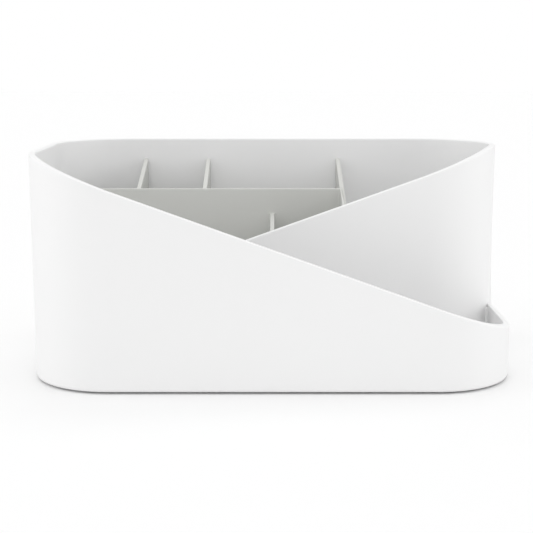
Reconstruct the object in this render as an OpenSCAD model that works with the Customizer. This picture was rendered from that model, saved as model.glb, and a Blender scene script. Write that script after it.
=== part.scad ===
// Desk organizer: a one-piece moulded shell with two crossing sloped walls, and a
// lift-out divider lattice that drops into the rear cup. Four pads under the base.
// Frame: +X to the right, +Y to the back, +Z up, origin under the middle of the body.

/* [Body] */
// Width of the shell at its base
base_width = 250; // [230:1:280]
// Depth of the shell at its base
base_depth = 145.9; // [144:0.1:165]
// Height of the shell from its underside to the level rim
body_height = 117.8; // [110:0.1:130]
// Outward lean of every outer wall, in degrees
draft_angle = 1; // [0.3:0.1:1.5]
// Wall thickness
wall = 3.5; // [2.4:0.1:4]
// Floor thickness
floor_thickness = 2.5; // [2:0.1:4]
// Radius of every upright corner, at the base
corner_radius = 42.5; // [36:0.5:42.5]
// Radius of the rounded edge under the shell
edge_radius = 1.5; // [1:0.5:2.5]

/* [Crossing walls] */
// Distance from the front of the base to the front face of the inner wall
inner_wall_y = 58.4; // [50:0.1:59]
// Slope of the two rims, in degrees: the front one falls to the right, the inner one to the left
rim_slope = 19.8; // [15:0.1:20.5]
// Radius of the fillet that closes each narrow end of the front bin
bin_end_radius = 1.2; // [1:0.1:3]

/* [Divider insert] */
// Thickness of the divider plates
divider_thickness = 2.4; // [2:0.1:3]
// Distance from the front of the base to the middle of the long divider
long_divider_y = 98.2; // [90:0.1:105]
// Drop from the rim to the cross dividers' tops at the back wall
back_drop = 11.8; // [5:0.1:20]
// Forward slope of the cross dividers' tops, in degrees
top_slope = 16.9; // [5:0.1:20]
// Position of the left cross divider
left_divider_x = -76.8; // [-82:0.1:-65]
// Position of the middle cross divider
middle_divider_x = -38.9; // [-52:0.1:-30]
// Position of the right cross divider, which also crosses the front channel
right_divider_x = 40; // [30:0.1:52]
// Position of the low divider in the front channel
low_divider_x = 0; // [-15:0.5:15]
// Drop from the long divider's top to the low divider's top
low_divider_drop = 14; // [5:0.1:30]
// Gap between the insert and the shell's walls
fit_gap = 0.6; // [0.5:0.1:1]
// Gap between the insert and the shell's floor
rest_gap = 0.1; // [0.05:0.05:0.3]

/* [Feet] */
// Diameter of a foot pad
foot_diameter = 12; // [8:1:16]
// Height of a pad, which is bonded under the base
foot_height = 1; // [0.6:0.1:3]
// Distance of a pad's centre from the side and the front or back of the base
foot_inset = 28; // [24:1:40]

/* [Hidden] */
$fn = 96;

half_width = base_width / 2;
lean = tan(draft_angle);
rim_z = foot_height + body_height;
floor_z = foot_height + floor_thickness;
// half the width over the rim's outer faces
rim_half_width = half_width + lean * body_height;
// height of each sloped rim where it reaches the far side wall
low_rim_z = rim_z - tan(rim_slope) * base_width;
// the front walls end where their corner meets the straight side wall
corner_end_y = inner_wall_y + corner_radius;
// the upright lines that the corners turn about
corner_x = half_width - corner_radius;
corner_back_y = base_depth - corner_radius;
corner_fn = 48;
// the height at which the front bin's end fillets touch the leaning walls, and their steps
bin_end_z = (floor_z + low_rim_z) / 2;
bin_end_steps = 8;
// rings of the rounded bottom edge
edge_steps = 4;
// the inner wall's corners run this far inside the outer wall's faces
blend_inset = 0.05;
// height above which cutters reach past every solid
clear_z = rim_z + 20;
// the front rim's most forward point is beside the left corner
front_reach = lean * (body_height - tan(rim_slope) * (rim_half_width - corner_x));
back_reach = lean * body_height;
centre_y = (base_depth + back_reach - front_reach) / 2;

// divider heights, front to back, all in the shell's own frame
back_inner_y = base_depth + lean * (body_height - back_drop) - wall;
top_rise = tan(top_slope);
cross_top_z = rim_z - back_drop;
long_top_z = cross_top_z - top_rise * (back_inner_y - long_divider_y);
low_top_z = long_top_z - low_divider_drop;

shell_colour = [0.93, 0.93, 0.93];
insert_colour = [0.80, 0.80, 0.77];
pad_colour = [0.75, 0.75, 0.74];

// A block with rounded corners, turned about upright lines at its corners. Each ring is
// [height, corner radius], lowest first, so the sides lean as the radius grows.
module rounded_block(centre_x, front_y, back_y, rings) {
    hull()
        for (x = [-centre_x, centre_x])
            for (y = [front_y, back_y])
                for (i = [0 : len(rings) - 2])
                    translate([x, y, rings[i][0]])
                        cylinder(h = rings[i + 1][0] - rings[i][0], r1 = rings[i][1],
                                 r2 = rings[i + 1][1], $fn = corner_fn);
}

// Corner radius of the outer face at height z.
function outer_r(z) = corner_radius + lean * (z - foot_height);

// Rings of the rounded edge under the shell.
function edge_ring(angle) =
    let (z = foot_height + edge_radius * (1 - cos(angle)))
    [z, outer_r(z) - edge_radius * (1 - sin(angle))];

// What a wall with the given corner lines encloses, from the floor up past the rim.
module inside_block(centre_x, front_y) {
    rounded_block(centre_x, front_y, corner_back_y,
                  [[floor_z, outer_r(floor_z) - wall], [clear_z, outer_r(clear_z) - wall]]);
}

// The floor slab and the outer wall up to a level rim.
module outer_wall() {
    edge_rings = [for (step = [0 : edge_steps]) edge_ring(90 * step / edge_steps)];
    difference() {
        rounded_block(corner_x, corner_radius, corner_back_y,
                      concat(edge_rings, [[rim_z, outer_r(rim_z)]]));
        inside_block(corner_x, corner_radius);
    }
}

// The inner wall: the front of a smaller drafted ring, up to where its corners have
// turned into the line of the side walls, and a little further into them.
module inner_wall() {
    centre_x = corner_x - blend_inset;
    front_y = inner_wall_y + corner_radius;
    bottom_z = foot_height + floor_thickness / 2;
    difference() {
        rounded_block(centre_x, front_y, corner_back_y,
                      [[bottom_z, outer_r(bottom_z)], [rim_z, outer_r(rim_z)]]);
        inside_block(centre_x, front_y);
        translate([-base_width, corner_end_y + wall / 2, -1])
            cube([2 * base_width, base_depth, clear_z]);
    }
}

// The plastic that closes a narrow end of the front bin, where the inner wall's corner
// runs into the left (-1) or right (1) side wall. Its face is a fillet that touches both.
module bin_end(side) {
    radius = outer_r(bin_end_z);
    face_x = half_width - wall + lean * (bin_end_z - foot_height);
    fillet_x = face_x - bin_end_radius;
    reach = radius + bin_end_radius;
    angle = acos((fillet_x - corner_x) / reach);
    fillet_y = corner_end_y - reach * sin(angle);
    fillet = [for (step = [0 : bin_end_steps])
        let (a = (180 - angle) * (1 - step / bin_end_steps))
        [side * (fillet_x + bin_end_radius * cos(a)), fillet_y + bin_end_radius * sin(a)]];
    in_side_wall = [[side * (face_x + wall / 2), fillet_y],
                    [side * (face_x + wall / 2), corner_end_y]];
    in_inner_wall = [for (step = [0 : bin_end_steps])
        let (a = -angle * step / bin_end_steps)
        [side * (corner_x + (radius - wall / 2) * cos(a)),
         corner_end_y + (radius - wall / 2) * sin(a)]];
    translate([0, 0, foot_height + floor_thickness / 2])
        linear_extrude(body_height / 2)
            polygon(concat(fillet, in_side_wall, in_inner_wall));
}

// Removes what stands above a rim, ahead of the line where the front corners end. The rim
// starts to fall at start_x, away from its high side (-1 left, 1 right).
module rim_cutter(high_side, start_x) {
    end_x = start_x - high_side * (base_width + 40);
    translate([0, corner_end_y, 0])
        rotate([90, 0, 0])
            linear_extrude(corner_end_y + 20)
                polygon([[start_x, rim_z], [start_x, clear_z + 10], [end_x, clear_z + 10],
                         [end_x, rim_z - tan(rim_slope) * abs(end_x - start_x)]]);
}

module outer_shell() {
    color(shell_colour)
        translate([0, -centre_y, 0])
            union() {
                difference() {
                    union() {
                        outer_wall();
                        bin_end(1);
                    }
                    rim_cutter(-1, -rim_half_width);
                }
                difference() {
                    union() {
                        inner_wall();
                        bin_end(-1);
                    }
                    rim_cutter(1, rim_half_width - wall);
                }
            }
}

function foot_x(side_x) = side_x * (half_width - foot_inset);
function foot_y(side_y) = base_depth / 2 + side_y * (base_depth / 2 - foot_inset);

module foot_pad(side_x, side_y) {
    color(pad_colour)
        translate([foot_x(side_x), foot_y(side_y) - centre_y, 0])
            cylinder(h = foot_height, d = foot_diameter);
}

// One cross divider: a plate at x whose profile in Y and Z has a sloped top.
module cross_plate(x, profile) {
    translate([x - divider_thickness / 2, 0, 0])
        rotate([90, 0, 90])
            linear_extrude(divider_thickness)
                polygon(profile);
}

// Inner faces of the shell that the insert stands clear of, at height z.
function back_face_y(z) = base_depth - wall + lean * (z - foot_height) - fit_gap;
function front_face_y(z) = inner_wall_y + wall - lean * (z - foot_height) + fit_gap;
function side_face_x(z) = half_width - wall + lean * (z - foot_height) - fit_gap;
function top_z(y) = long_top_z + top_rise * (y - long_divider_y);

module divider_insert() {
    foot_z = floor_z + rest_gap;
    rear_top = top_z(back_face_y(cross_top_z));
    front_top = top_z(front_face_y(long_top_z));
    low_front_top = front_top - low_divider_drop;
    rear_profile = [[long_divider_y, foot_z], [back_face_y(foot_z), foot_z],
                    [back_face_y(rear_top), rear_top], [long_divider_y, long_top_z]];
    through_profile = [[front_face_y(foot_z), foot_z], [back_face_y(foot_z), foot_z],
                       [back_face_y(rear_top), rear_top],
                       [front_face_y(front_top), front_top]];
    low_profile = [[front_face_y(foot_z), foot_z], [long_divider_y, foot_z],
                   [long_divider_y, low_top_z],
                   [front_face_y(low_front_top), low_front_top]];
    color(insert_colour)
        translate([0, -centre_y, 0])
            union() {
                cross_plate(left_divider_x, rear_profile);
                cross_plate(middle_divider_x, rear_profile);
                cross_plate(right_divider_x, through_profile);
                cross_plate(low_divider_x, low_profile);
                translate([0, long_divider_y + divider_thickness / 2, 0])
                    rotate([90, 0, 0])
                        linear_extrude(divider_thickness)
                            polygon([[-side_face_x(foot_z), foot_z],
                                     [right_divider_x, foot_z],
                                     [right_divider_x, long_top_z],
                                     [-side_face_x(long_top_z), long_top_z]]);
            }
}

module foot_pad_front_left() { foot_pad(-1, -1); }
module foot_pad_front_right() { foot_pad(1, -1); }
module foot_pad_back_left() { foot_pad(-1, 1); }
module foot_pad_back_right() { foot_pad(1, 1); }

outer_shell();
divider_insert();
foot_pad_front_left();
foot_pad_front_right();
foot_pad_back_left();
foot_pad_back_right();
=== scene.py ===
"""Looks of the desk organizer. Lengths are in metres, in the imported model's frame."""

import math

import bmesh
import bpy
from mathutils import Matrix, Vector
from mathutils.geometry import delaunay_2d_cdt


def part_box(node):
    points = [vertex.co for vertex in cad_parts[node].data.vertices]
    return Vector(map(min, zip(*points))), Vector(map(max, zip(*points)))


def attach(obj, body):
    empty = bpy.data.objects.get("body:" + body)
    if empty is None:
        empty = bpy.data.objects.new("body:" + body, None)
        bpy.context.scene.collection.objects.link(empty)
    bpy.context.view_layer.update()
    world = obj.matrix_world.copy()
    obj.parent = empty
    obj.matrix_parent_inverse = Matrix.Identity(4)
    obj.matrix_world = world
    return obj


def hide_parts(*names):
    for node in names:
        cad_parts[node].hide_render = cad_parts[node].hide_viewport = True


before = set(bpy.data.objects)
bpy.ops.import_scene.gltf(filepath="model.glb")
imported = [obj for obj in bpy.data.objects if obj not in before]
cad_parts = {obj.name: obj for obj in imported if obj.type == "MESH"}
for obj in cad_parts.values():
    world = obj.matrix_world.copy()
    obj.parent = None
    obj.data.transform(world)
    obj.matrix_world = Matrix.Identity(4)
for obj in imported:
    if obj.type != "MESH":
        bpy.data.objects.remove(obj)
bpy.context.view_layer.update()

MM = 0.001

# ---------------------------------------------------------------- sizes of the body
SHELL_LOW, SHELL_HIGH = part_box("outer_shell")
LEAN = math.tan(math.radians(1))  # every outer wall leans out by this, for each metre of height
UNDER = SHELL_LOW.z
RIM = SHELL_HIGH.z
HALF_WIDTH = SHELL_HIGH.x - LEAN * (RIM - UNDER)  # at the base
BACK = SHELL_HIGH.y - LEAN * (RIM - UNDER)
FRONT = BACK - 145.9 * MM
WALL = 3.5 * MM
FLOOR = UNDER + 2.5 * MM
CORNER = 42.5 * MM  # outer radius of every upright corner, at the base
CORNER_X = HALF_WIDTH - CORNER
INNER_FRONT = FRONT + 58.4 * MM  # front face of the inner wall, at the base
MERGE_Y = INNER_FRONT + CORNER  # where the inner wall's corners meet the side walls
BACK_CORNER_Y = BACK - CORNER
FRONT_CORNER_Y = FRONT + CORNER
RIM_SLOPE = math.tan(math.radians(19.8))
FRONT_SLOPE_START = SHELL_HIGH.x
INNER_SLOPE_START = SHELL_HIGH.x - WALL
RIM_ROUND = 0.8 * MM
EDGE_ROUND = 1.5 * MM
FILLET = 2.0 * MM  # between the walls and the floor
SUPPORT = 0.4 * MM  # a row of points this close to each rounding keeps the flat faces flat
SINK = 0.05 * MM  # solids that meet face to face run this far into each other
SLOPE_BLEND = 3 * MM  # how softly a level rim turns into a sloped one
RIM_STEP = 8 * MM  # the low rims rise into the level one over this stretch of the side walls
BIN_END_RADIUS = 1.2 * MM  # fillet that closes each narrow end of the front bin
CORNER_STEPS = 36  # points round a quarter turn of the wall
FRONT_STEPS = 30  # points along the front, the inner wall and the back
SIDE_STEPS = 12  # points along a side wall
PROFILE_STEPS = 5  # points round each rounding of the wall's cross-section
SHARP_ANGLE = 32  # degrees; edges that turn more than this are shaded as sharp


# ---------------------------------------------------------------- small helpers
def smooth(t):
    t = min(1.0, max(0.0, t))
    return t * t * (3 - 2 * t)


def soft_ramp(t, blend):
    """0 below -blend, t above blend, and a parabola between."""
    if t <= -blend:
        return 0.0
    if t >= blend:
        return t
    return (t + blend) ** 2 / (4 * blend)


def arc_points(cx, cy, start, end):
    """Points and outward normals on a corner arc, angles in degrees."""
    out = []
    for i in range(CORNER_STEPS):
        a = math.radians(start + (end - start) * i / CORNER_STEPS)
        n = Vector((math.cos(a), math.sin(a)))
        out.append((Vector((cx, cy)) + n * CORNER, n))
    return out


def line_points(start, end, normal, steps):
    """Points and outward normals on a straight stretch."""
    start, end = Vector(start), Vector(end)
    return [(start.lerp(end, i / steps), Vector(normal)) for i in range(steps)]


def mesh_object(name, bm):
    bmesh.ops.recalc_face_normals(bm, faces=bm.faces)
    mesh = bpy.data.meshes.new(name)
    bm.to_mesh(mesh)
    bm.free()
    made = bpy.data.objects.new(name, mesh)
    bpy.context.scene.collection.objects.link(made)
    return made


def tube_mesh(rings):
    """A closed solid through rings that all have the same number of points."""
    bm = bmesh.new()
    rows = [[bm.verts.new(p) for p in ring] for ring in rings]
    count = len(rows[0])
    for a, b in zip(rows, rows[1:]):
        for i in range(count):
            j = (i + 1) % count
            bm.faces.new((a[i], a[j], b[j], b[i]))
    bm.faces.new(list(reversed(rows[0])))
    bm.faces.new(rows[-1])
    return bm


def prism_mesh(outline, low, high):
    """A closed upright solid over an outline of (x, y) points."""
    bm = bmesh.new()
    bottom = [bm.verts.new((x, y, low)) for x, y in outline]
    top = [bm.verts.new((x, y, high)) for x, y in outline]
    count = len(outline)
    for i in range(count):
        j = (i + 1) % count
        bm.faces.new((bottom[i], bottom[j], top[j], top[i]))
    bm.faces.new(list(reversed(bottom)))
    bm.faces.new(top)
    return bm


def fill_outline(bm, row):
    """Closes a row of points with triangles that stay inside its outline."""
    flat = [v.co.xy / MM for v in row]
    count = len(row)
    edges = [(i, (i + 1) % count) for i in range(count)]
    _, _, faces, origins, _, _ = delaunay_2d_cdt(flat, edges, [], 1, 1e-7)
    for face in faces:
        bm.faces.new([row[origins[i][0]] for i in face])


def apply_modifiers(obj):
    graph = bpy.context.evaluated_depsgraph_get()
    mesh = bpy.data.meshes.new_from_object(obj.evaluated_get(graph))
    old = obj.data
    obj.modifiers.clear()
    obj.data = mesh
    mesh.name = obj.name
    bpy.data.meshes.remove(old)


def unite(base, others, own_overlaps=False):
    """Joins closed solids into one mesh and removes what is inside. Only the exact solver
    also clears the base's overlaps with itself."""
    for other in others:
        mod = base.modifiers.new("join", "BOOLEAN")
        mod.operation = "UNION"
        mod.solver = "EXACT" if own_overlaps else "MANIFOLD"
        mod.use_self = own_overlaps
        mod.object = other
    apply_modifiers(base)
    for other in others:
        mesh = other.data
        bpy.data.objects.remove(other)
        bpy.data.meshes.remove(mesh)


def clean(obj, merge):
    bm = bmesh.new()
    bm.from_mesh(obj.data)
    bmesh.ops.remove_doubles(bm, verts=bm.verts, dist=merge)
    bmesh.ops.dissolve_degenerate(bm, dist=merge / 2, edges=bm.edges)
    loose = [v for v in bm.verts if not v.link_faces]
    bmesh.ops.delete(bm, geom=loose, context="VERTS")
    bmesh.ops.recalc_face_normals(bm, faces=bm.faces)
    bm.to_mesh(obj.data)
    bm.free()


def shade(obj, angle):
    obj.data.shade_smooth()
    obj.data.set_sharp_from_angle(angle=math.radians(angle))


# ---------------------------------------------------------------- the shell
def wall_stations():
    """The wall's path, from the inner wall's low left end, round the rear cup and on
    round the front to the front wall's low right end. Each station is (point on the
    outer face at the base, outward normal, kind, high side)."""
    overlap = 1 * MM  # the ends stop this far short of where the walls are tangent
    end_angle = math.degrees(math.asin(overlap / CORNER))
    right, end_y = HALF_WIDTH, MERGE_Y - overlap
    parts = [
        ("inner", 1, arc_points(-CORNER_X, MERGE_Y, 180 + end_angle, 270)),
        ("inner", 1, line_points((-CORNER_X, INNER_FRONT), (CORNER_X, INNER_FRONT), (0, -1), FRONT_STEPS)),
        ("inner", 1, arc_points(CORNER_X, MERGE_Y, 270, 360)),
        ("outer", 0, line_points((right, MERGE_Y), (right, BACK_CORNER_Y), (1, 0), 1)),
        ("outer", 0, arc_points(CORNER_X, BACK_CORNER_Y, 0, 90)),
        ("outer", 0, line_points((CORNER_X, BACK), (-CORNER_X, BACK), (0, 1), FRONT_STEPS)),
        ("outer", 0, arc_points(-CORNER_X, BACK_CORNER_Y, 90, 180)),
        ("outer", -1, line_points((-right, BACK_CORNER_Y), (-right, FRONT_CORNER_Y), (-1, 0), SIDE_STEPS)),
        ("outer", -1, arc_points(-CORNER_X, FRONT_CORNER_Y, 180, 270)),
        ("outer", -1, line_points((-CORNER_X, FRONT), (CORNER_X, FRONT), (0, -1), FRONT_STEPS)),
        ("outer", -1, arc_points(CORNER_X, FRONT_CORNER_Y, 270, 360)),
        ("outer", -1, line_points((right, FRONT_CORNER_Y), (right, end_y), (1, 0), SIDE_STEPS)),
    ]
    stations = [(p, n, kind, side) for kind, side, points in parts for p, n in points]
    stations.append((Vector((right, end_y)), Vector((1, 0)), "outer", -1))
    return stations


def rim_height(x, y, side):
    """Height of a rim over (x, y). side is its high end: -1 left, 1 right, 0 level all over."""
    if side == 0:
        return RIM
    start = FRONT_SLOPE_START if side < 0 else INNER_SLOPE_START
    fall = RIM_SLOPE * soft_ramp(start - side * x, SLOPE_BLEND)
    return RIM - fall * smooth((MERGE_Y - y) / RIM_STEP)


def fillet_points(face, radius, away):
    """A fillet between the floor and a wall, as wall_profile's points. face is the wall's
    depth, and away is the way in which the fillet leaves it: 1 deeper, -1 shallower."""
    first_angle = 8  # degrees; the arc starts here, where it is still below the floor
    points = []
    for i in range(PROFILE_STEPS + 1):
        a = math.radians(first_angle + (90 - first_angle) * i / PROFILE_STEPS)
        depth = face + away * radius * (1 - math.sin(a))
        points.append((depth, "floor", radius * (1 - math.cos(a)) - SINK))
    return points


def wall_profile(kind, outer_fillet):
    """The wall's cross-section as (depth behind the outer face, measure, value). The value
    is a height up from the underside or the floor, a height down from the rim, or a part
    of the way up the flat face."""
    quarter = [math.radians(90 * i / PROFILE_STEPS) for i in range(PROFILE_STEPS + 1)]
    points = []
    if kind == "inner":
        flare = max(outer_fillet, 0.02 * MM)
        low = 1.5 * MM
        points.append((-flare, "up", low))
        points += fillet_points(0.0, flare, -1)
    else:
        low = 0.0
        points.append((EDGE_ROUND + SUPPORT, "up", low))
        for a in quarter:
            points.append((EDGE_ROUND * (1 - math.sin(a)), "up", EDGE_ROUND * (1 - math.cos(a))))
    up_rows = (0.0, 0.25, 0.5, 0.75, 1.0)
    points += [(0.0, "part", t) for t in up_rows]
    rim = [(RIM_ROUND * (1 - math.cos(a)), RIM_ROUND * (1 - math.sin(a))) for a in quarter]
    points += [(depth, "down", drop) for depth, drop in rim]
    points += [(WALL - depth, "down", drop) for depth, drop in reversed(rim)]
    points += [(WALL, "part", t) for t in reversed(up_rows)]
    points += reversed(fillet_points(WALL, FILLET, 1))
    points.append((WALL + FILLET, "up", low))
    return points


def wall_ring(station):
    point, normal, kind, side = station
    outer_fillet = 0.0
    if kind == "inner":
        # towards the side walls, the fillet along the inner wall's front face dies away, and
        # on the right the wall goes on down to the rounded edge, as it does behind the corner
        fades_at, fades_over, goes_down_at = 11 * MM, 4 * MM, 7 * MM
        reach = MERGE_Y - point.y
        outer_fillet = FILLET * smooth((reach - fades_at) / fades_over)
        if reach < goes_down_at and point.x > 0:
            kind = "outer"
    # beside the high end of a rim, the fall is the same right across the wall
    high_side = side * point.x > CORNER_X
    ring = []
    for depth, measure, value in wall_profile(kind, outer_fillet):
        across = point - normal * depth
        seen = point if high_side else across
        guess = seen + normal * LEAN * (RIM - UNDER)
        top = rim_height(guess.x, point.y, side)
        seen_top = seen + normal * LEAN * (top - UNDER)
        top = rim_height(seen_top.x, point.y, side)
        bottom = UNDER + EDGE_ROUND if kind == "outer" and depth < WALL / 2 else FLOOR + FILLET
        if measure == "up":
            z = UNDER + value
        elif measure == "floor":
            z = FLOOR + value
        elif measure == "down":
            z = top - value
        else:
            low, high = bottom + SUPPORT, top - RIM_ROUND - SUPPORT
            z = low + (high - low) * value
        xy = across + normal * LEAN * (z - UNDER)
        ring.append((xy.x, xy.y, z))
    return ring


def floor_slab():
    """The floor, which ends inside the outer wall."""
    inset = WALL * 0.6
    radius = CORNER - inset
    steps = 24
    outline = []
    for cx, cy, start in (
        (CORNER_X, FRONT_CORNER_Y, 270),
        (CORNER_X, BACK_CORNER_Y, 0),
        (-CORNER_X, BACK_CORNER_Y, 90),
        (-CORNER_X, FRONT_CORNER_Y, 180),
    ):
        for i in range(steps + 1):
            a = math.radians(start + 90 * i / steps)
            outline.append((cx + radius * math.cos(a), cy + radius * math.sin(a)))
    return mesh_object("floor_slab", prism_mesh(outline, UNDER + SINK, FLOOR))


def bin_end(side):
    """The plastic that closes a narrow end of the front bin, up to the lower rim, with a
    fillet that touches the inner wall's corner and the side wall."""
    steps = 10
    face_x = HALF_WIDTH - WALL
    fillet_x = face_x - BIN_END_RADIUS
    reach = CORNER + BIN_END_RADIUS
    angle = math.acos((fillet_x - CORNER_X) / reach)
    fillet_y = MERGE_Y - reach * math.sin(angle)
    outline = []
    for i in range(steps + 1):
        a = (math.pi - angle) * (1 - i / steps)
        x, y = BIN_END_RADIUS * math.cos(a), BIN_END_RADIUS * math.sin(a)
        outline.append((fillet_x + x, fillet_y + y))
    outline += [(face_x + WALL / 2, fillet_y), (face_x + WALL / 2, MERGE_Y)]
    radius = CORNER - WALL / 2
    for i in range(steps + 1):
        a = -angle * i / steps
        outline.append((CORNER_X + radius * math.cos(a), MERGE_Y + radius * math.sin(a)))
    below_floor, below_rim = 1 * MM, 0.1 * MM
    low_rim = rim_height(side * SHELL_HIGH.x, FRONT, -side)
    bm = bmesh.new()
    rows = []
    for z in (FLOOR - below_floor, low_rim - below_rim):
        out = LEAN * (z - UNDER)
        rows.append([bm.verts.new((side * (x + out), y, z)) for x, y in outline])
    count = len(outline)
    for i in range(count):
        j = (i + 1) % count
        bm.faces.new((rows[0][i], rows[0][j], rows[1][j], rows[1][i]))
    for row in rows:
        fill_outline(bm, row)
    return mesh_object("bin_end", bm)


def make_shell():
    rings = [wall_ring(s) for s in wall_stations()]
    shell = mesh_object("shell", tube_mesh(rings))
    unite(shell, [floor_slab(), bin_end(-1), bin_end(1)], own_overlaps=True)
    clean(shell, 0.012 * MM)
    shade(shell, SHARP_ANGLE)
    return shell


# ---------------------------------------------------------------- the divider insert
INSERT_LOW, INSERT_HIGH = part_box("divider_insert")
PLATE = 2.4 * MM
LONG_Y = FRONT + 98.2 * MM
CROSS_X = (-76.8 * MM, -38.9 * MM)
RIGHT_X = 40 * MM
LOW_X = 0.0
LOW_DROP = 14 * MM
TOP_SLOPE = math.tan(math.radians(16.9))
JUNCTION = 1.5 * MM  # fillet between two plates
PLATE_ROUND = 0.35 * MM
END_ROUND = 0.8 * MM
FIT_GAP = 0.6 * MM


def back_face(z):
    return BACK - WALL + LEAN * (z - UNDER) - FIT_GAP


def front_face(z):
    return INNER_FRONT + WALL - LEAN * (z - UNDER) + FIT_GAP


def side_face(z):
    return HALF_WIDTH - WALL + LEAN * (z - UNDER) - FIT_GAP


def long_top():
    return INSERT_HIGH.z - TOP_SLOPE * (INSERT_HIGH.y - LONG_Y)


def plate_top(y):
    """Height of the plates' tops: level over the long plate, sloped behind and before it."""
    level = PLATE / 2 + JUNCTION
    if y > LONG_Y + level:
        rise = (INSERT_HIGH.z - long_top()) / (INSERT_HIGH.y - LONG_Y - level)
        return long_top() + rise * (y - LONG_Y - level)
    return long_top() - TOP_SLOPE * max(0.0, LONG_Y - level - y)


def rounded_outline(corners):
    """Rounds each (x, y, radius) corner of a closed outline, and sets a point just
    outside each arc to keep the straight sides flat."""
    steps = 6
    guard = 0.2 * MM
    out = []
    count = len(corners)
    for i, (x, y, radius) in enumerate(corners):
        here = Vector((x, y))
        before = (Vector(corners[i - 1][:2]) - here).normalized()
        after = (Vector(corners[(i + 1) % count][:2]) - here).normalized()
        turn = math.pi - before.angle(after)
        reach = radius * math.tan(turn / 2)
        middle = here + (before + after).normalized() * radius / math.cos(turn / 2)
        first, last = here + before * reach - middle, here + after * reach - middle
        side = 1 if first.x * last.y - first.y * last.x > 0 else -1
        out.append(here + before * (reach + guard))
        for k in range(steps + 1):
            a = side * turn * k / steps
            x_turned = first.x * math.cos(a) - first.y * math.sin(a)
            y_turned = first.x * math.sin(a) + first.y * math.cos(a)
            out.append(middle + Vector((x_turned, y_turned)))
        out.append(here + after * (reach + guard))
    return out


def inset_outline(points, distance):
    """Moves an outline that runs anticlockwise inwards by a distance."""
    out = []
    count = len(points)
    for i, p in enumerate(points):
        a = (p - points[i - 1]).normalized()
        b = (points[(i + 1) % count] - p).normalized()
        na, nb = Vector((-a.y, a.x)), Vector((-b.y, b.x))
        out.append(p + (na + nb) / (1 + na.dot(nb)) * distance)
    return out


def plate_solid(name, low_corners, high_corners, top_at):
    """An upright solid whose outline runs anticlockwise from low_corners at the foot to
    high_corners at the top, with a rounded top edge at the height top_at(y)."""
    low, high = rounded_outline(low_corners), rounded_outline(high_corners)
    tops = [top_at(p.y) for p in high]
    foot = INSERT_LOW.z
    bm = bmesh.new()
    rows = [[bm.verts.new((p.x, p.y, foot)) for p in low]]
    for part in (0.33, 0.66):
        row = []
        for p, q, top in zip(low, high, tops):
            row.append(bm.verts.new((*p.lerp(q, part), foot + (top - foot) * part)))
        rows.append(row)
    rows.append([bm.verts.new((p.x, p.y, z - PLATE_ROUND - SUPPORT)) for p, z in zip(high, tops)])
    steps = 5
    for k in range(steps + 1):
        a = math.radians(90 * k / steps)
        ring = inset_outline(high, PLATE_ROUND * (1 - math.cos(a)))
        drop = PLATE_ROUND * (1 - math.sin(a))
        rows.append([bm.verts.new((p.x, p.y, z - drop)) for p, z in zip(ring, tops)])
    count = len(low)
    for a, b in zip(rows, rows[1:]):
        for i in range(count):
            j = (i + 1) % count
            bm.faces.new((a[i], a[j], b[j], b[i]))
    for row in (rows[0], rows[-1]):
        fill_outline(bm, row)
    return mesh_object(name, bm)


def lattice_corners(side, front, back):
    """Corners of the long plate with the plates that share its top, anticlockwise."""
    end, half = END_ROUND, PLATE / 2
    low_y, high_y = LONG_Y - half, LONG_Y + half
    corners = [
        (-side, low_y, end),
        (RIGHT_X - half, low_y, JUNCTION),
        (RIGHT_X - half, front, end),
        (RIGHT_X + half, front, end),
        (RIGHT_X + half, back, end),
        (RIGHT_X - half, back, end),
        (RIGHT_X - half, high_y, JUNCTION),
    ]
    for x in sorted(CROSS_X, reverse=True):
        corners += [
            (x + half, high_y, JUNCTION),
            (x + half, back, end),
            (x - half, back, end),
            (x - half, high_y, JUNCTION),
        ]
    corners.append((-side, high_y, end))
    return corners


def low_plate_corners(front):
    """Corners of the low plate, whose rear flares out inside the long plate, past the
    fillets where the two plates meet."""
    end, half = END_ROUND, PLATE / 2
    hidden = 0.6 * MM  # radius of the corners inside the long plate
    face = LONG_Y - half + 0.02 * MM
    rear = face + 2.1 * MM
    flare = half + JUNCTION + 2 * hidden
    return [
        (LOW_X - half, front, end),
        (LOW_X + half, front, end),
        (LOW_X + half, face, JUNCTION),
        (LOW_X + flare, face, hidden),
        (LOW_X + flare, rear, hidden),
        (LOW_X - flare, rear, hidden),
        (LOW_X - flare, face, hidden),
        (LOW_X - half, face, JUNCTION),
    ]


def make_insert():
    foot = INSERT_LOW.z
    top = long_top()
    front_top = plate_top(front_face(top))
    insert = plate_solid(
        "insert",
        lattice_corners(side_face(foot), front_face(foot), back_face(foot)),
        lattice_corners(side_face(top), front_face(front_top), INSERT_HIGH.y),
        plate_top,
    )
    low_plate = plate_solid(
        "low_plate",
        low_plate_corners(front_face(foot)),
        low_plate_corners(front_face(front_top - LOW_DROP)),
        lambda y: plate_top(y) - LOW_DROP,
    )
    unite(insert, [low_plate])
    clean(insert, 0.004 * MM)
    shade(insert, SHARP_ANGLE)
    return insert


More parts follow.
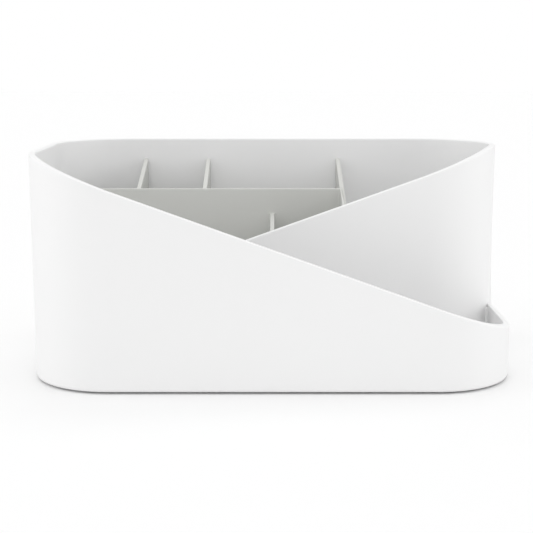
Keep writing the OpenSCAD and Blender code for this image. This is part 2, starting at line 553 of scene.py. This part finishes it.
# ---------------------------------------------------------------- the foot pads
def make_pad(node):
    """A low turned pad with a soft lower edge and a shallow dished face. Its profile is a
    list of (radius, height above its foot), and its top runs a little into the shell."""
    low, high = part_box(node)
    centre = (low + high) / 2
    radius = (high.x - low.x) / 2
    height = high.z - low.z
    soft = height * 0.45
    dish = height * 0.12
    profile = [(0.0, dish), (radius * 0.55, dish / 2), (radius * 0.72, 0.0)]
    edge_steps = 6
    for i in range(edge_steps + 1):
        a = math.radians(90 * i / edge_steps)
        profile.append((radius - soft * (1 - math.sin(a)), soft * (1 - math.cos(a))))
    profile += [(radius, height + SINK), (0.0, height + SINK)]
    bm = bmesh.new()
    steps = 64
    rows = []
    for r, z in profile:
        if r == 0:
            rows.append([bm.verts.new((centre.x, centre.y, low.z + z))])
            continue
        row = []
        for i in range(steps):
            a = 2 * math.pi * i / steps
            x, y = centre.x + r * math.cos(a), centre.y + r * math.sin(a)
            row.append(bm.verts.new((x, y, low.z + z)))
        rows.append(row)
    for a, b in zip(rows, rows[1:]):
        for i in range(steps):
            j = (i + 1) % steps
            if len(a) == 1:
                bm.faces.new((a[0], b[j], b[i]))
            elif len(b) == 1:
                bm.faces.new((a[i], a[j], b[0]))
            else:
                bm.faces.new((a[i], a[j], b[j], b[i]))
    pad = mesh_object(node.replace("foot_", "") + "_soft", bm)
    shade(pad, 40)
    return pad


# ---------------------------------------------------------------- materials
def plastic(name, colour, roughness, grain_scale, grain_depth, tint):
    """Moulded plastic: a fine spark-eroded grain in the bump and the roughness, and a faint
    cloudiness in the colour, which falls to colour times tint where it is darkest."""
    roughness_spread = 0.05
    mat = bpy.data.materials.new(name)
    mat.use_nodes = True
    nodes, links = mat.node_tree.nodes, mat.node_tree.links
    shader = nodes["Principled BSDF"]
    coords = nodes.new("ShaderNodeTexCoord")

    cloud = nodes.new("ShaderNodeTexNoise")
    cloud.inputs["Scale"].default_value = 9
    cloud.inputs["Detail"].default_value = 3
    ramp = nodes.new("ShaderNodeValToRGB")
    ramp.color_ramp.elements[0].position = 0.3
    ramp.color_ramp.elements[1].position = 0.7
    ramp.color_ramp.elements[0].color = (*[c * t for c, t in zip(colour, tint)], 1)
    ramp.color_ramp.elements[1].color = (*colour, 1)
    links.new(coords.outputs["Object"], cloud.inputs["Vector"])
    links.new(cloud.outputs["Fac"], ramp.inputs["Fac"])
    links.new(ramp.outputs["Color"], shader.inputs["Base Color"])

    grain = nodes.new("ShaderNodeTexNoise")
    grain.inputs["Scale"].default_value = grain_scale
    grain.inputs["Detail"].default_value = 4
    grain.inputs["Roughness"].default_value = 0.6
    links.new(coords.outputs["Object"], grain.inputs["Vector"])
    rough = nodes.new("ShaderNodeMapRange")
    rough.inputs["To Min"].default_value = roughness - roughness_spread
    rough.inputs["To Max"].default_value = roughness + roughness_spread
    links.new(grain.outputs["Fac"], rough.inputs["Value"])
    links.new(rough.outputs["Result"], shader.inputs["Roughness"])

    bump = nodes.new("ShaderNodeBump")
    bump.inputs["Strength"].default_value = 0.35
    bump.inputs["Distance"].default_value = grain_depth
    links.new(grain.outputs["Fac"], bump.inputs["Height"])
    links.new(bump.outputs["Normal"], shader.inputs["Normal"])
    return mat


def dress(obj, mat, body, nodes):
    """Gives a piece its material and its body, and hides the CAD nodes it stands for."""
    obj.data.materials.clear()
    obj.data.materials.append(mat)
    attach(obj, body)
    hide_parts(*nodes)


SHELL_WHITE = (0.85, 0.85, 0.85)
INSERT_WHITE = (0.615, 0.62, 0.595)
PAD_GREY = (0.42, 0.42, 0.41)
shell_plastic = plastic("shell_moulding", SHELL_WHITE, 0.5, 1400, 0.05 * MM, (0.985, 0.985, 0.985))
insert_plastic = plastic("insert_moulding", INSERT_WHITE, 0.55, 1600, 0.05 * MM, (0.985, 0.985, 0.98))
pad_rubber = plastic("pad_silicone", PAD_GREY, 0.6, 2200, 0.03 * MM, (0.94, 0.94, 0.94))

dress(make_shell(), shell_plastic, "shell", ["outer_shell"])
dress(make_insert(), insert_plastic, "insert", ["divider_insert"])
for pad_node in sorted(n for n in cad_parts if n.startswith("foot_pad")):
    dress(make_pad(pad_node), pad_rubber, "shell", [pad_node])


# ---------------------------------------------------------------- floor, light and camera
def make_floor():
    bm = bmesh.new()
    bmesh.ops.create_grid(bm, x_segments=1, y_segments=1, size=6)
    floor = mesh_object("studio_floor", bm)
    mat = bpy.data.materials.new("studio_floor")
    mat.use_nodes = True
    shader = mat.node_tree.nodes["Principled BSDF"]
    shader.inputs["Base Color"].default_value = (0.88, 0.88, 0.88, 1)
    shader.inputs["Roughness"].default_value = 0.9
    shader.inputs["Specular IOR Level"].default_value = 0.0
    floor.data.materials.append(mat)


def soft_sun(name, azimuth, elevation, spread, strength):
    """A wide, soft light. Azimuth 0 shines from the front and 90 from the right."""
    data = bpy.data.lights.new(name, "SUN")
    data.angle = math.radians(spread)
    data.energy = strength
    light = bpy.data.objects.new(name, data)
    a, e = math.radians(azimuth), math.radians(elevation)
    source = Vector((math.sin(a) * math.cos(e), -math.cos(a) * math.cos(e), math.sin(e)))
    light.rotation_euler = (-source).to_track_quat("-Z", "Y").to_euler()
    bpy.context.scene.collection.objects.link(light)


def make_world():
    """Soft white surroundings, shown as plain white behind the floor."""
    world = bpy.data.worlds.new("studio")
    world.use_nodes = True
    nodes, links = world.node_tree.nodes, world.node_tree.links
    ambient = nodes["Background"]
    ambient.inputs["Color"].default_value = (1, 1, 1, 1)
    ambient.inputs["Strength"].default_value = 0.785
    backdrop = nodes.new("ShaderNodeBackground")
    backdrop.inputs["Color"].default_value = (1, 1, 1, 1)
    backdrop.inputs["Strength"].default_value = 1.0
    path = nodes.new("ShaderNodeLightPath")
    mix = nodes.new("ShaderNodeMixShader")
    links.new(path.outputs["Is Camera Ray"], mix.inputs["Fac"])
    links.new(ambient.outputs["Background"], mix.inputs[1])
    links.new(backdrop.outputs["Background"], mix.inputs[2])
    links.new(mix.outputs["Shader"], nodes["World Output"].inputs["Surface"])
    bpy.context.scene.world = world


def make_camera():
    data = bpy.data.cameras.new("camera")
    data.sensor_width = 36
    data.lens = 79.40
    data.shift_x = -0.0101
    data.shift_y = -0.150
    data.clip_end = 50
    camera = bpy.data.objects.new("camera", data)
    camera.location = (-0.23 * MM, FRONT - 572.4 * MM, UNDER + 164.1 * MM)
    camera.rotation_euler = (math.radians(90 - 6.039), 0, 0)
    bpy.context.scene.collection.objects.link(camera)
    bpy.context.scene.camera = camera


make_floor()
make_world()
soft_sun("overhead", 0, 80, 30, 0.356)
soft_sun("front", 0, 35, 25, 0.367)
soft_sun("left", -90, 15, 50, 0.693)
soft_sun("right", 90, 15, 50, 0.611)
soft_sun("back", 180, 50, 50, 0.03)
soft_sun("back_high", 180, 65, 25, 0.172)
make_camera()
bpy.context.scene.view_settings.view_transform = "Standard"
